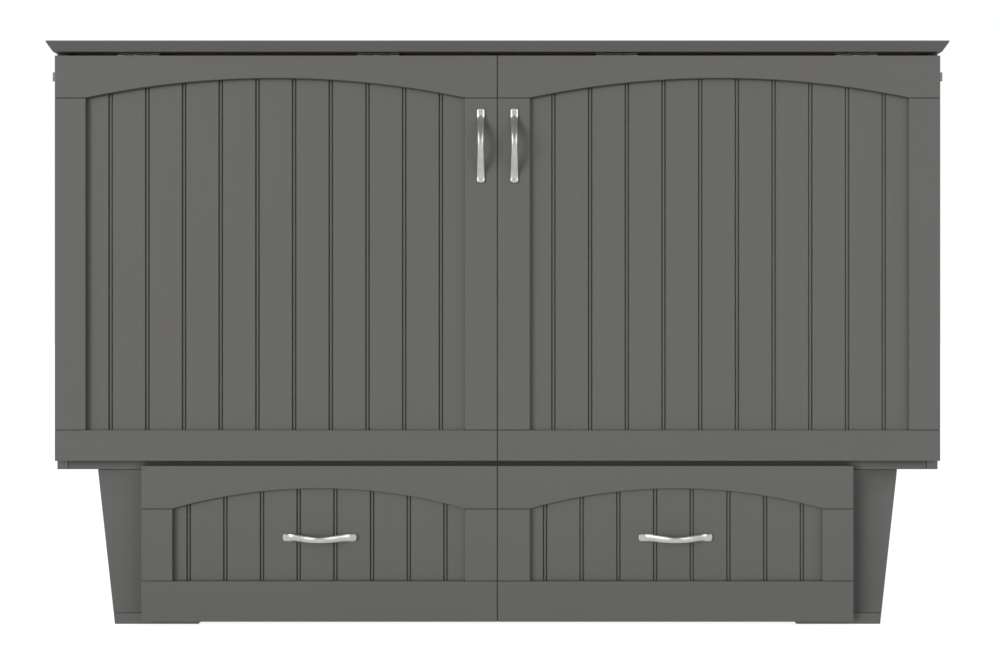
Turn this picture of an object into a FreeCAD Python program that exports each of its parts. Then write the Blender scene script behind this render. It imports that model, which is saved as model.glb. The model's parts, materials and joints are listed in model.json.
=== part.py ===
import FreeCAD, Part
import math
import os

# Cabinet bed, closed: a chest on two splayed pedestals with the bed folded away inside.
# X runs along the front, Y to the wall, Z up. The origin is the middle of the footprint.

V = FreeCAD.Vector
os.makedirs("parts", exist_ok=True)

# Case
case_width = 1641.7
case_depth = 640.0
side_height = 773.1
side_thickness = 20.0
bottom_thickness = 17.3
back_thickness = 12.0
leg_height = 288.4

# Doors and drawer fronts
front_thickness = 19.0
front_gap = 1.0
door_end_inset = 1.3
seam_gap = 1.1
outer_stile_width = 57.35
inner_stile_width = 59.8
panel_recess = 9.0
panel_thickness = 7.0
tongue_depth = 5.5
tongue_clearance = 0.5
edge_ease = 1.0
joint_line = 1.0
joint_line_depth = 2.0
door_rail_height = 78.5
door_arch_rise = 36.5
door_bottom_rail = 57.0
drawer_front_lap = 105.3
drawer_rail_height = 79.5
drawer_arch_rise = 37.5
drawer_bottom_rail = 75.3
drawer_reveal = 9.0
floor_clearance = 7.9

# Beads of the panels: an eased ridge between two quirks
bead_pitch = 68.17
bead_margin = 20.0
door_bead_shift = -0.3
drawer_bead_shift = -3.9
bead_ridge = 1.0
bead_slope = 2.0
quirk_slope = 1.6
quirk_depth = 3.4
bead_crown_drop = 1.0

# Lid
lid_thickness = 18.9
lid_overhang = 10.2
lid_nose = 2.5
lid_lower_lap = 1.55
lid_reveal = 6.5
bumper_thickness = 1.2
bumper_width = 14.0
bumper_place_shares = (0.08, 0.5, 0.92)
stop_height_shares = (0.2, 0.85)

# Hinges at the door tops, folding the lid
hinge_place_shares = (-0.811, -0.27, 0.27, 0.811)
hinge_length = 78.0
hinge_leaf = 1.5
barrel_sides = 8
bore_sides = 6
knuckle_gap = 0.4
knuckle_clearance = 0.35
pin_radius = 1.4
pin_clearance = 0.08
upper_knuckles = 5
upper_knuckle_radius = 2.75
upper_pin_inset = 5.0
upper_pin_drop = 0.75
lid_leaf_length = 28.0
crank_reach = 8.0

# Hinges at the door bottoms, lowering the front
lower_knuckles = 3
lower_knuckle_radius = 3.0
lower_door_leaf = 40.0
lower_case_leaf = 60.0
mortise_clearance = 0.3

# Slat decks
slat_thickness = 18.0
deck_side_gap = 7.0
mid_slat_width = 84.0
mid_slat_count = 6
mid_slat_start = 14.0
mid_slat_end = 14.0
head_slat_width = 70.0
head_slat_count = 5
head_slat_gap = 6.0
head_slat_end = 6.0
bearer_width = 40.0
bearer_shares = (-0.97, -0.55, 0.0, 0.55, 0.97)
foot_slat_width = 70.0
foot_slat_count = 4
lid_rail_width = 36.0
lid_rail_gap = 4.0
lid_rail_end = 18.0
lid_runner_width = 45.0
lid_runner_shares = (-0.66, -0.22, 0.22, 0.66)
foot_slat_end_gap = 30.0

# Wall-fixing rail
back_rail_height = 80.0
back_rail_thickness = 22.0
back_rail_gap = 7.25
wall_hole_radius = 4.0
wall_hole_spacing = 800.0

# Pedestal legs
leg_inset = 75.5
leg_head_width = 191.65
leg_foot_width = 160.0
leg_board = 20.0
foot_thickness = 21.2
foot_bevel = 4.0

# Drawer box on rollers
drawer_side_gap = 6.0
drawer_board = 18.0
drawer_back_gap = 40.0
drawer_bottom_thickness = 9.0
drawer_groove = 6.0
drawer_lower_edge = 24.0
pad_thickness = 2.0
pad_clearance = 0.5
pad_width = 12.0
pad_length = 90.0
pad_shares = (0.2, 0.8)
wheel_radius = 20.0
wheel_width = 14.0
axle_radius = 3.0
axle_clearance = 0.3
wheel_side_clearance = 0.6
wheel_top_clearance = 5.0
bracket_thickness = 2.5
bracket_length = 44.0
bracket_flange = 12.0
bracket_eye = 7.0
caster_inset_x = 70.0
caster_inset_y = 75.0

# Bow pulls
pull_length = 137.0
pull_end_width = 14.0
pull_waist_width = 10.5
pull_pad_length = 18.0
pull_pad_thickness = 4.5
pull_bar_thickness = 5.5
handle_projection = 30.0
door_pull_share = 0.51
door_pull_drop = 167.5
drawer_pull_height_share = 0.538

# Side locks
lock_inset = 14.0
lock_drop = 38.8
lock_knob_radius = 8.9
lock_knob_reach = 14.0
lock_collar_radius = 13.5
lock_collar_height = 10.5
lock_collar_clearance = 0.6
lock_shaft_radius = 4.0
lock_shaft_clearance = 0.08
lock_tongue_thickness = 2.8
lock_tongue_gap = 0.5
lock_tongue_half_width = 4.0
lock_tongue_length = 24.0
keeper_thickness = 2.0
keeper_half_width = 9.0
keeper_rise = 26.0
keeper_foot = 5.0
keeper_lug_half = 2.5
keeper_lug_reach = 18.0
keeper_play = 2.5
keeper_side_gap = 1.0

# Cuts run past the faces that they open by this much
overrun = 2.0
same_place = 1.0e-4

# Levels and planes that follow from the sizes above
total_depth = handle_projection + front_thickness + front_gap + case_depth
back_plane = total_depth / 2
face_plane = handle_projection - back_plane
door_back_plane = face_plane + front_thickness
case_plane = door_back_plane + front_gap
case_half = case_width / 2
inner_half = case_half - side_thickness
deck_half = inner_half - deck_side_gap
floor_top = leg_height + bottom_thickness
case_top = leg_height + side_height
lid_bottom = case_top + bumper_thickness
lid_top = lid_bottom + lid_thickness
door_top = lid_bottom - lid_reveal
door_bottom = floor_top
lower_pin_level = door_bottom + lower_knuckle_radius
lower_pin_plane = face_plane + front_thickness / 2
upper_pin_level = door_top - upper_pin_drop
upper_pin_plane = face_plane + upper_pin_inset
drawer_front_top = door_bottom - drawer_reveal
opened_door_level = lower_pin_level + front_thickness / 2
deck_top = opened_door_level + slat_thickness
lid_drop = upper_pin_inset - (lid_bottom - upper_pin_level)
opened_lid_level = opened_door_level - front_thickness + lid_drop
lid_frame_depth = deck_top - opened_lid_level
leg_top_half_width = case_half - leg_inset
leg_inner_half_width = leg_top_half_width - leg_head_width
leg_bottom_half_width = leg_inner_half_width + leg_foot_width
drawer_fronts_width = 2 * (leg_inner_half_width + drawer_front_lap)
drawer_depth = case_depth - drawer_back_gap
pad_top = opened_lid_level - lid_thickness - pad_clearance
drawer_top = pad_top - pad_thickness
drawer_half = leg_inner_half_width - drawer_side_gap
groove_depth = tongue_depth + tongue_clearance
panel_plane = face_plane + panel_recess
panel_back_plane = panel_plane + panel_thickness
lock_plane = case_plane + lock_inset
lock_level = case_top - lock_drop
leg_splay = (leg_top_half_width - leg_bottom_half_width) / leg_height
hinge_places = [share * case_half for share in hinge_place_shares]


def box(x0, x1, y0, y1, z0, z1):
    return Part.makeBox(x1 - x0, y1 - y0, z1 - z0, V(x0, y0, z0))


def rod_x(x0, x1, y, z, radius):
    return Part.makeCylinder(radius, x1 - x0, V(x0, y, z), V(1, 0, 0))


def barrel(x0, x1, y, z, flat_radius, sides):
    """A rolled hinge barrel along X, measured across its flats, with one flat facing up."""
    corner = flat_radius / math.cos(math.pi / sides)
    angles = [math.pi / 2 + 2 * math.pi * (i + 0.5) / sides for i in range(sides)]
    corners = [V(x0, y + corner * math.cos(a), z + corner * math.sin(a)) for a in angles]
    return Part.Face(Part.makePolygon(corners + corners[:1])).extrude(V(x1 - x0, 0, 0))


def outline_y(points, y0, y1):
    """A closed outline of (x, z) points, carried from y0 to y1."""
    corners = [V(x, y0, z) for x, z in points]
    face = Part.Face(Part.makePolygon(corners + corners[:1]))
    return face.extrude(V(0, y1 - y0, 0))


def fused(solids):
    first, *rest = solids
    return first.multiFuse(rest).removeSplitter() if rest else first


def mirrored(solid):
    return solid.mirror(V(0, 0, 0), V(1, 0, 0))


def both_sides(solid):
    return [mirrored(solid), solid]


def save(name, *solids):
    shape = solids[0] if len(solids) == 1 else Part.makeCompound(list(solids))
    shape.exportStep("parts/" + name + ".step")


def ease_front(solid):
    """Take the sharp edge off the front face of a door or drawer board."""
    front = [e for e in solid.Edges if all(abs(v.Y - face_plane) < same_place for v in e.Vertexes)]
    return solid.makeChamfer(edge_ease, front)


# Frame-and-panel fronts

def arch_body(x0, x1, z0, spring, rise, y0, y1):
    """A board with straight sides and bottom and an arched top."""
    crown = V((x0 + x1) / 2, y0, spring + rise)
    arch = Part.Arc(V(x1, y0, spring), crown, V(x0, y0, spring)).toShape()
    corners = [V(x0, y0, spring), V(x0, y0, z0), V(x1, y0, z0), V(x1, y0, spring)]
    sides = [Part.makeLine(a, b) for a, b in zip(corners, corners[1:])]
    return Part.Face(Part.Wire(sides + [arch])).extrude(V(0, y1 - y0, 0))


def bead_cut(x, z0, z1):
    """The waste around one bead: two quirks and the eased ridge between them."""
    deep = bead_ridge + bead_slope
    lip = deep + quirk_slope
    half = [(lip, panel_plane - overrun), (lip, panel_plane), (deep, panel_plane + quirk_depth),
            (bead_ridge, panel_plane + bead_crown_drop)]
    outline = [(-u, y) for u, y in half] + [(u, y) for u, y in reversed(half)]
    corners = [V(x + u, y, z0) for u, y in outline]
    return Part.Face(Part.makePolygon(corners + corners[:1])).extrude(V(0, 0, z1 - z0))


def framed_front(name, x0, x1, z0, z1, top_rail, rise, bottom_rail, bead_shift, cuts):
    """Rails run the full width, stiles stand between them and the panel floats in their grooves."""
    left_stile, right_stile = ((outer_stile_width, inner_stile_width) if x0 < 0
                               else (inner_stile_width, outer_stile_width))
    sight0 = x0 + left_stile
    sight1 = x1 - right_stile
    rail_top = z0 + bottom_rail
    spring = z1 - top_rail
    groove = arch_body(sight0 - groove_depth, sight1 + groove_depth, rail_top - groove_depth,
                       spring + groove_depth, rise, panel_plane, panel_back_plane)

    upper = box(x0, x1, face_plane, door_back_plane, spring, z1)
    sight = arch_body(sight0, sight1, rail_top, spring, rise, face_plane - overrun, door_back_plane + overrun)
    upper_slot = box(x0 - overrun, x1 + overrun, panel_plane, panel_back_plane,
                     spring - overrun, spring + groove_depth)
    upper = ease_front(upper.cut(sight)).cut([groove, upper_slot])

    lower = ease_front(box(x0, x1, face_plane, door_back_plane, z0, rail_top))
    lower_slot = box(x0 - overrun, x1 + overrun, panel_plane, panel_back_plane,
                     rail_top - groove_depth, rail_top + overrun)
    lower = lower.cut(lower_slot)

    stiles = []
    for outside, inside in ((x0, sight0), (sight1, x1)):
        body = ease_front(box(outside, inside, face_plane, door_back_plane, rail_top, spring))
        lines = [box(outside, inside, face_plane, face_plane + joint_line_depth, z, z + joint_line)
                 for z in (rail_top, spring - joint_line)]
        body = body.cut(lines)
        tenon0 = outside if outside == x0 else outside + groove_depth
        tenon1 = inside if inside == x1 else inside - groove_depth
        tenon = box(tenon0, tenon1, panel_plane, panel_back_plane,
                    rail_top - tongue_depth, spring + tongue_depth)
        stiles.append(body.cut(groove).fuse(tenon).removeSplitter())

    panel_low = rail_top - tongue_depth
    panel_high = spring + tongue_depth + rise
    panel = arch_body(sight0 - tongue_depth, sight1 + tongue_depth, panel_low,
                      spring + tongue_depth, rise, panel_plane, panel_back_plane)
    middle = (sight0 + sight1) / 2 + bead_shift
    count = int((sight1 - sight0 - 2 * bead_margin) // bead_pitch) + 1
    beads = [bead_cut(middle + (i - (count - 1) / 2) * bead_pitch, panel_low - overrun, panel_high + overrun)
             for i in range(count)]
    panel = panel.cut(beads)

    outer_stile, inner_stile = stiles if x0 < 0 else reversed(stiles)
    pieces = {"top_rail": upper, "bottom_rail": lower, "outer_stile": outer_stile,
              "inner_stile": inner_stile, "panel": panel}
    for piece, solid in pieces.items():
        save(name + "_" + piece, solid.cut(cuts) if cuts else solid)


def upper_mortises():
    """Seats in the door tops for the door leaves, wider around the knuckles, behind a thin front lip."""
    cuts = []
    half = hinge_length / 2 + mortise_clearance
    seat = upper_pin_level - upper_knuckle_radius
    bore = upper_knuckle_radius + knuckle_clearance
    for x in hinge_places:
        cuts.append(box(x - half, x + half, upper_pin_plane, door_back_plane + overrun,
                        seat, door_top + overrun))
        cuts.append(box(x - half, x + half, upper_pin_plane - bore, upper_pin_plane + bore,
                        upper_pin_level - bore, door_top + overrun))
    return cuts


def lower_mortises():
    """Rebates in the lower back edge of the doors, so that the case leaf can swing in, and leaf seats above."""
    cuts = []
    half = hinge_length / 2 + mortise_clearance
    bore = lower_knuckle_radius + knuckle_clearance
    leaf_top = lower_pin_level + lower_knuckle_radius + lower_door_leaf + mortise_clearance
    for x in hinge_places:
        cuts.append(box(x - half, x + half, door_back_plane - hinge_leaf, door_back_plane + overrun,
                        lower_pin_level, leaf_top))
        cuts.append(box(x - half, x + half, lower_pin_plane - bore, door_back_plane + overrun,
                        door_bottom - overrun, lower_pin_level + bore))
    return cuts


def make_fronts():
    door_cuts = upper_mortises() + lower_mortises()
    seam = seam_gap / 2
    door_end = case_half - door_end_inset
    for side, x0, x1 in (("left", -door_end, -seam), ("right", seam, door_end)):
        framed_front(side + "_door", x0, x1, door_bottom, door_top,
                     door_rail_height, door_arch_rise, door_bottom_rail, door_bead_shift, door_cuts)
    drawer_end = drawer_fronts_width / 2
    for side, x0, x1 in (("left", -drawer_end, -seam), ("right", seam, drawer_end)):
        framed_front(side + "_drawer", x0, x1, floor_clearance, drawer_front_top,
                     drawer_rail_height, drawer_arch_rise, drawer_bottom_rail, drawer_bead_shift, [])


# Hinges

def knuckle_spans(x, knuckles):
    """The stretch of each knuckle along one hinge."""
    pitch = hinge_length / knuckles
    start = x - hinge_length / 2
    return [(start + i * pitch + knuckle_gap / 2, start + (i + 1) * pitch - knuckle_gap / 2)
            for i in range(knuckles)]


def knuckle_room(spans, y, z, radius):
    """Clearance cut round the knuckles of the other leaf."""
    return [barrel(a - knuckle_gap, b + knuckle_gap, y, z, radius + knuckle_clearance, barrel_sides)
            for a, b in spans]


def hinge_pair(x, y, z, radius, knuckles, turning_plate, holding_plate, crank):
    """Two leaves and their pin: the odd knuckles turn on the pin, the even knuckles hold it."""
    spans = knuckle_spans(x, knuckles)
    turning = spans[0::2]
    holding = spans[1::2]
    pin_bore = barrel(x - hinge_length, x + hinge_length, y, z, pin_radius + pin_clearance, bore_sides)
    turning_plate = turning_plate.cut(knuckle_room(holding, y, z, radius))
    turning_leaf = fused([turning_plate] + [barrel(a, b, y, z, radius, barrel_sides) for a, b in turning])
    holding_plate = holding_plate.cut(knuckle_room(turning, y, z, radius))
    webs = [crank(a, b) for a, b in holding] if crank else []
    holding_leaf = fused([holding_plate] + [barrel(a, b, y, z, radius, barrel_sides) for a, b in holding] + webs)
    pin = rod_x(spans[0][0], spans[-1][1], y, z, pin_radius)
    return turning_leaf.cut(pin_bore), [holding_leaf.cut(pin_bore), pin]


def upper_hinge(x):
    """A hinge between a door top and the lid: the lid leaf runs back over the door, then cranks up."""
    half = hinge_length / 2
    seat = upper_pin_level - upper_knuckle_radius
    crest = upper_pin_level + upper_knuckle_radius
    back = upper_pin_plane + crank_reach
    leaf = box(x - half, x + half, upper_pin_plane, door_back_plane, seat, seat + hinge_leaf)
    flap = box(x - half, x + half, back - hinge_leaf, upper_pin_plane + lid_leaf_length,
               lid_bottom - hinge_leaf, lid_bottom)

    def crank(a, b):
        run = box(a, b, upper_pin_plane, back, crest - hinge_leaf, crest)
        rise = box(a, b, back - hinge_leaf, back, crest - hinge_leaf, lid_bottom)
        return run.fuse(rise)

    return hinge_pair(x, upper_pin_plane, upper_pin_level, upper_knuckle_radius, upper_knuckles, leaf, flap, crank)


def lower_hinge(x):
    """A hinge in the middle of the door's thickness, so that the door turns without leaving its gap."""
    half = hinge_length / 2
    bend = lower_pin_level + lower_knuckle_radius
    shelf = box(x - half, x + half, lower_pin_plane, door_back_plane, bend - hinge_leaf, bend)
    plate = box(x - half, x + half, door_back_plane - hinge_leaf, door_back_plane,
                bend - hinge_leaf, bend + lower_door_leaf)
    flap = box(x - half, x + half, lower_pin_plane, lower_pin_plane + lower_case_leaf,
               floor_top, floor_top + hinge_leaf)
    return hinge_pair(x, lower_pin_plane, lower_pin_level, lower_knuckle_radius, lower_knuckles,
                      fused([shelf, plate]), flap, None)


def make_hinges():
    door_tops, lids, door_backs, floors = [], [], [], []
    for x in hinge_places:
        turning, holding = upper_hinge(x)
        door_tops.append(turning)
        lids += holding
        turning, holding = lower_hinge(x)
        door_backs.append(turning)
        floors += holding
    save("upper_hinge_door_leaves", *door_tops)
    save("upper_hinge_lid_leaves", *lids)
    save("lower_hinge_door_leaves", *door_backs)
    save("lower_hinge_case_leaves", *floors)


# Case

def make_case():
    side = box(inner_half, case_half, case_plane, back_plane, leg_height, case_top)
    shaft_hole = rod_x(inner_half - overrun, case_half + overrun, lock_plane, lock_level,
                       lock_shaft_radius + lock_shaft_clearance)
    side = side.cut(shaft_hole)
    save("case_side_left", mirrored(side))
    save("case_side_right", side)
    bottom = box(-inner_half, inner_half, case_plane, back_plane, leg_height, floor_top)
    line = box(inner_half - joint_line, inner_half, case_plane, case_plane + joint_line_depth, leg_height, floor_top)
    save("case_bottom", bottom.cut(both_sides(line)))

    back_inside = back_plane - back_thickness
    rail_top = lid_bottom - lid_frame_depth - back_rail_gap
    rail_bottom = rail_top - back_rail_height
    hole_level = (rail_top + rail_bottom) / 2
    holes = [Part.makeCylinder(wall_hole_radius, back_thickness + back_rail_thickness + 2 * overrun,
                               V(x, back_inside - back_rail_thickness - overrun, hole_level), V(0, 1, 0))
             for x in (-wall_hole_spacing / 2, wall_hole_spacing / 2)]
    save("case_back", box(-inner_half, inner_half, back_inside, back_plane, floor_top, case_top).cut(holes))
    save("back_rail", box(-inner_half, inner_half, back_inside - back_rail_thickness, back_inside,
                          rail_bottom, rail_top).cut(holes))

    save("rubber_bumpers", *lid_bumpers(), *drawer_stops())


def lid_bumpers():
    """Square pads on the tops of the sides that the lid comes down on."""
    middle = case_half - side_thickness / 2
    half = bumper_width / 2
    places = [case_plane + share * case_depth for share in bumper_place_shares]
    return [box(x - half, x + half, y - half, y + half, case_top, lid_bottom)
            for x in (-middle, middle) for y in places]


def drawer_stops():
    """Thin pads on the leg fronts that the drawer's outer stiles close against."""
    middle = (drawer_fronts_width - outer_stile_width) / 2
    half = bumper_width / 2
    levels = [share * leg_height for share in stop_height_shares]
    return [box(x - half, x + half, door_back_plane, case_plane, z - half, z + half)
            for x in (-middle, middle) for z in levels]


def splay_at(z):
    """Half width of the pedestals at a height above the floor."""
    return leg_bottom_half_width + leg_splay * z


def make_legs():
    low = foot_thickness
    front = outline_y([(leg_inner_half_width, low), (splay_at(low), low), (splay_at(leg_height), leg_height),
                       (leg_inner_half_width, leg_height)], case_plane, case_plane + leg_board)
    slope = math.sqrt(1 + leg_splay ** 2) * leg_board
    outer = outline_y([(splay_at(low) - slope, low), (splay_at(low), low), (splay_at(leg_height), leg_height),
                       (splay_at(leg_height) - slope, leg_height)],
                      case_plane + leg_board, back_plane - leg_board)
    inner = box(leg_inner_half_width, leg_inner_half_width + leg_board,
                case_plane + leg_board, back_plane - leg_board, low, leg_height)
    back = front.translated(V(0, case_depth - leg_board, 0))
    foot = outline_y([(leg_inner_half_width + foot_bevel, 0), (splay_at(0), 0), (splay_at(low), low),
                      (leg_inner_half_width, low), (leg_inner_half_width, foot_bevel)], case_plane, back_plane)
    head_line = box(leg_inner_half_width, leg_top_half_width, case_plane, case_plane + joint_line_depth,
                    leg_height - joint_line, leg_height)
    foot_line = box(leg_inner_half_width, leg_top_half_width, case_plane, case_plane + joint_line_depth,
                    low - joint_line, low)
    front = front.cut(head_line)
    foot = foot.cut(foot_line)
    save("leg_front_left", mirrored(front))
    save("leg_front_right", front)
    save("leg_outer_panels", *both_sides(outer))
    save("leg_inner_panels", *both_sides(inner))
    save("leg_back_panels", *both_sides(back))
    save("feet", *both_sides(foot))


# Lid and slat decks

def rectangle(half_x, y0, y1, z):
    corners = [V(-half_x, y0, z), V(half_x, y0, z), V(half_x, y1, z), V(-half_x, y1, z)]
    return Part.makePolygon(corners + corners[:1])


def spread(first, last, width, count):
    """Starts of evenly spaced slats between two limits."""
    step = (last - first - width) / (count - 1)
    return [first + i * step for i in range(count)]


def make_lid():
    nose_level = lid_top - lid_nose
    low_half = case_half + lid_lower_lap
    low_front = face_plane - lid_lower_lap
    high_half = low_half + lid_overhang
    high_front = low_front - lid_overhang
    bevel = Part.makeLoft([rectangle(low_half, low_front, back_plane, lid_bottom),
                           rectangle(high_half, high_front, back_plane, nose_level)], True, True)
    nose = box(-high_half, high_half, high_front, back_plane, nose_level, lid_top)
    save("lid_board", bevel.fuse(nose))

    rail_low = lid_bottom - lid_frame_depth
    runner_low = rail_low + slat_thickness
    front_rail = door_back_plane + slat_thickness + lid_rail_gap
    rear_rail = back_plane - back_thickness - lid_rail_end - lid_rail_width
    frame = [box(-deck_half, deck_half, y, y + lid_rail_width, rail_low, lid_bottom)
             for y in (front_rail, rear_rail)]
    for share in lid_runner_shares:
        x = share * deck_half
        frame.append(box(x - lid_runner_width / 2, x + lid_runner_width / 2,
                         front_rail + lid_rail_width, rear_rail, runner_low, lid_bottom))
    save("lid_frame", *frame)

    starts = spread(front_rail + lid_rail_width + foot_slat_end_gap, rear_rail - foot_slat_end_gap,
                    foot_slat_width, foot_slat_count)
    save("foot_slats", *[box(-deck_half, deck_half, y, y + foot_slat_width, rail_low, runner_low)
                         for y in starts])


def make_decks():
    starts = spread(lower_pin_level + mid_slat_start, door_top - mid_slat_end, mid_slat_width, mid_slat_count)
    save("mid_slats", *[box(-deck_half, deck_half, door_back_plane, door_back_plane + slat_thickness,
                            z, z + mid_slat_width) for z in starts])
    front = door_back_plane + slat_thickness + head_slat_gap
    back = back_plane - back_thickness - head_slat_end
    slat_low = deck_top - slat_thickness
    slats = [box(-deck_half, deck_half, y, y + head_slat_width, slat_low, deck_top)
             for y in spread(front, back, head_slat_width, head_slat_count)]
    bearers = [box(share * deck_half - bearer_width / 2, share * deck_half + bearer_width / 2,
                   front, back, floor_top, slat_low) for share in bearer_shares]
    save("head_slats", *slats)
    save("head_bearers", *bearers)


# Drawer

def make_drawer_box():
    front = door_back_plane
    back = door_back_plane + drawer_depth
    bottom_low = 2 * wheel_radius + wheel_top_clearance + bracket_thickness
    bottom_high = bottom_low + drawer_bottom_thickness
    inside = drawer_half - drawer_board
    bottom = box(-inside - drawer_groove, inside + drawer_groove, front + drawer_board - drawer_groove,
                 back - drawer_board + drawer_groove, bottom_low, bottom_high)
    side = box(inside, drawer_half, front + drawer_board, back, drawer_lower_edge, drawer_top)
    save("drawer_side_left", mirrored(side).cut(bottom))
    save("drawer_side_right", side.cut(bottom))
    save("drawer_subfront", box(-drawer_half, drawer_half, front, front + drawer_board,
                                drawer_lower_edge, drawer_top).cut(bottom))
    save("drawer_back", box(-inside, inside, back - drawer_board, back, drawer_lower_edge, drawer_top).cut(bottom))
    save("drawer_bottom", bottom)

    pad_x = drawer_half - drawer_board / 2
    pads = []
    for x in (-pad_x, pad_x):
        for share in pad_shares:
            y = front + share * drawer_depth
            pads.append(box(x - pad_width / 2, x + pad_width / 2, y - pad_length / 2, y + pad_length / 2,
                            drawer_top, pad_top))
    save("support_pads", *pads)
    make_casters(front + caster_inset_y, back - caster_inset_y, bottom_low)


def caster_bracket(x, y, plate_top):
    """A top plate with two cheeks that taper down round the slots that the axle drops into."""
    inner = wheel_width / 2 + wheel_side_clearance
    outer = inner + bracket_thickness
    half = bracket_length / 2
    plate = box(x - outer - bracket_flange, x + outer + bracket_flange, y - half, y + half,
                plate_top - bracket_thickness, plate_top)
    cheeks = []
    for x0 in (x - outer, x + inner):
        corners = [V(x0, y - half, plate_top), V(x0, y + half, plate_top),
                   V(x0, y + bracket_eye, wheel_radius - bracket_eye),
                   V(x0, y - bracket_eye, wheel_radius - bracket_eye)]
        cheeks.append(Part.Face(Part.makePolygon(corners + corners[:1])).extrude(V(bracket_thickness, 0, 0)))
    slot_half = axle_radius + axle_clearance
    slot = box(x - outer - overrun, x + outer + overrun, y - slot_half, y + slot_half,
               wheel_radius - bracket_eye - overrun, wheel_radius + slot_half)
    return fused([plate] + cheeks).cut(slot)


def roller_pair(caster_x, y):
    """Two rubber rollers on one through axle."""
    half = wheel_width / 2
    end = caster_x + half + wheel_side_clearance + bracket_thickness
    axle = rod_x(-end, end, y, wheel_radius, axle_radius)
    rollers = [rod_x(x - half, x + half, y, wheel_radius, wheel_radius) for x in (-caster_x, caster_x)]
    return fused([axle] + rollers)


def make_casters(front_y, rear_y, plate_top):
    caster_x = drawer_half - caster_inset_x
    save("rollers_front", roller_pair(caster_x, front_y))
    save("rollers_rear", roller_pair(caster_x, rear_y))
    save("roller_brackets", *[caster_bracket(x, y, plate_top) for y in (front_y, rear_y)
                              for x in (-caster_x, caster_x)])


# Bow pulls

def bow_pull():
    """A pull along X whose pads lie on the plane y = 0, bowed towards -Y and waisted in the middle."""
    end = pull_length / 2
    foot = end - pull_pad_length
    toe = end - pull_pad_length / 2
    bow = Part.Arc(V(-toe, -pull_pad_thickness, 0), V(0, -handle_projection, 0), V(toe, -pull_pad_thickness, 0))
    under = Part.Arc(V(foot, 0, 0), V(0, pull_bar_thickness - handle_projection, 0), V(-foot, 0, 0))
    corners = [V(-foot, 0, 0), V(-end, 0, 0), V(-end, -pull_pad_thickness, 0), V(-toe, -pull_pad_thickness, 0)]
    left = [Part.makeLine(a, b) for a, b in zip(corners, corners[1:])]
    corners = [V(-p.x, p.y, 0) for p in reversed(corners)]
    right = [Part.makeLine(a, b) for a, b in zip(corners, corners[1:])]
    side_view = Part.Face(Part.Wire(left + [bow.toShape()] + right + [under.toShape()]))
    bar = side_view.extrude(V(0, 0, pull_end_width)).translated(V(0, 0, -pull_end_width / 2))

    edge = pull_end_width / 2
    waist = pull_waist_width / 2
    top = Part.Arc(V(foot, 0, edge), V(0, 0, waist), V(-foot, 0, edge)).toShape()
    low = Part.Arc(V(-foot, 0, -edge), V(0, 0, -waist), V(foot, 0, -edge)).toShape()
    ends = [V(-foot, 0, edge), V(-end, 0, edge), V(-end, 0, -edge), V(-foot, 0, -edge)]
    left = [Part.makeLine(a, b) for a, b in zip(ends, ends[1:])]
    ends = [V(foot, 0, -edge), V(end, 0, -edge), V(end, 0, edge), V(foot, 0, edge)]
    right = [Part.makeLine(a, b) for a, b in zip(ends, ends[1:])]
    front_view = Part.Face(Part.Wire(left + [low] + right + [top]))
    return bar.common(front_view.extrude(V(0, -handle_projection - overrun, 0)))


def make_pulls():
    pull = bow_pull()
    upright = pull.copy()
    upright.rotate(V(0, 0, 0), V(0, 1, 0), 90)
    door_x = seam_gap / 2 + door_pull_share * inner_stile_width
    drawer_x = (seam_gap / 2 + drawer_fronts_width / 2) / 2
    drawer_z = floor_clearance + drawer_pull_height_share * (drawer_front_top - floor_clearance)
    for side, sign in (("left", -1), ("right", 1)):
        save("door_handle_" + side, upright.translated(V(sign * door_x, face_plane, door_top - door_pull_drop)))
        save("drawer_handle_" + side, pull.translated(V(sign * drawer_x, panel_plane, drawer_z)))


# Side locks

def turned(outline):
    """A turned piece on the right-hand lock's axis, from (distance out, radius) points."""
    corners = [V(case_half + u, lock_plane, lock_level + r) for u, r in outline]
    face = Part.Face(Part.makePolygon(corners + corners[:1]))
    return face.revolve(V(case_half, lock_plane, lock_level), V(1, 0, 0), 360)


def make_locks():
    bore = lock_knob_radius + lock_collar_clearance
    collar = turned([(0, bore), (0, lock_collar_radius), (lock_collar_height, lock_collar_radius),
                     (lock_collar_height, bore)])
    save("lock_collars", *both_sides(collar))

    knob = turned([(lock_tongue_gap, 0), (lock_tongue_gap, lock_knob_radius),
                   (lock_knob_reach, lock_knob_radius), (lock_knob_reach, 0)])
    tongue_out = inner_half - lock_tongue_gap
    tongue_in = tongue_out - lock_tongue_thickness
    shaft = rod_x(tongue_in, case_half + lock_knob_reach / 2, lock_plane, lock_level, lock_shaft_radius)
    tongue = box(tongue_in, tongue_out, lock_plane - lock_tongue_half_width, lock_plane + lock_tongue_half_width,
                 lock_level, lock_level + lock_tongue_length)
    lock = fused([knob, shaft, tongue])
    save("lock_left", mirrored(lock))
    save("lock_right", lock)

    lug_y = lock_plane + keeper_lug_reach
    lug_top = lock_level - lock_tongue_half_width - keeper_play
    lug_low = lug_top - 2 * keeper_lug_half
    plate = box(deck_half, deck_half + keeper_thickness, lug_y - keeper_half_width, lug_y + keeper_half_width,
                lug_low - keeper_foot, lock_level + keeper_rise)
    lug = box(deck_half, inner_half - keeper_side_gap, lug_y - keeper_lug_half, lug_y + keeper_lug_half,
              lug_low, lug_top)
    save("lock_keepers", *both_sides(fused([plate, lug])))


make_fronts()
make_hinges()
make_case()
make_legs()
make_lid()
make_decks()
make_drawer_box()
make_pulls()
make_locks()
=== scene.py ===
# %% [markdown]
# # A grey cabinet bed, closed
# The construction comes in as a fixed frame: every board, hinge leaf and roller is already at its real
# place, in metres, with Z up and the front facing -Y. This lesson only dresses it: paint, timber, metal,
# the cast pulls and the small fixings, then a white studio and the camera.

# %% Load the frame
import json
import math

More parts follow.
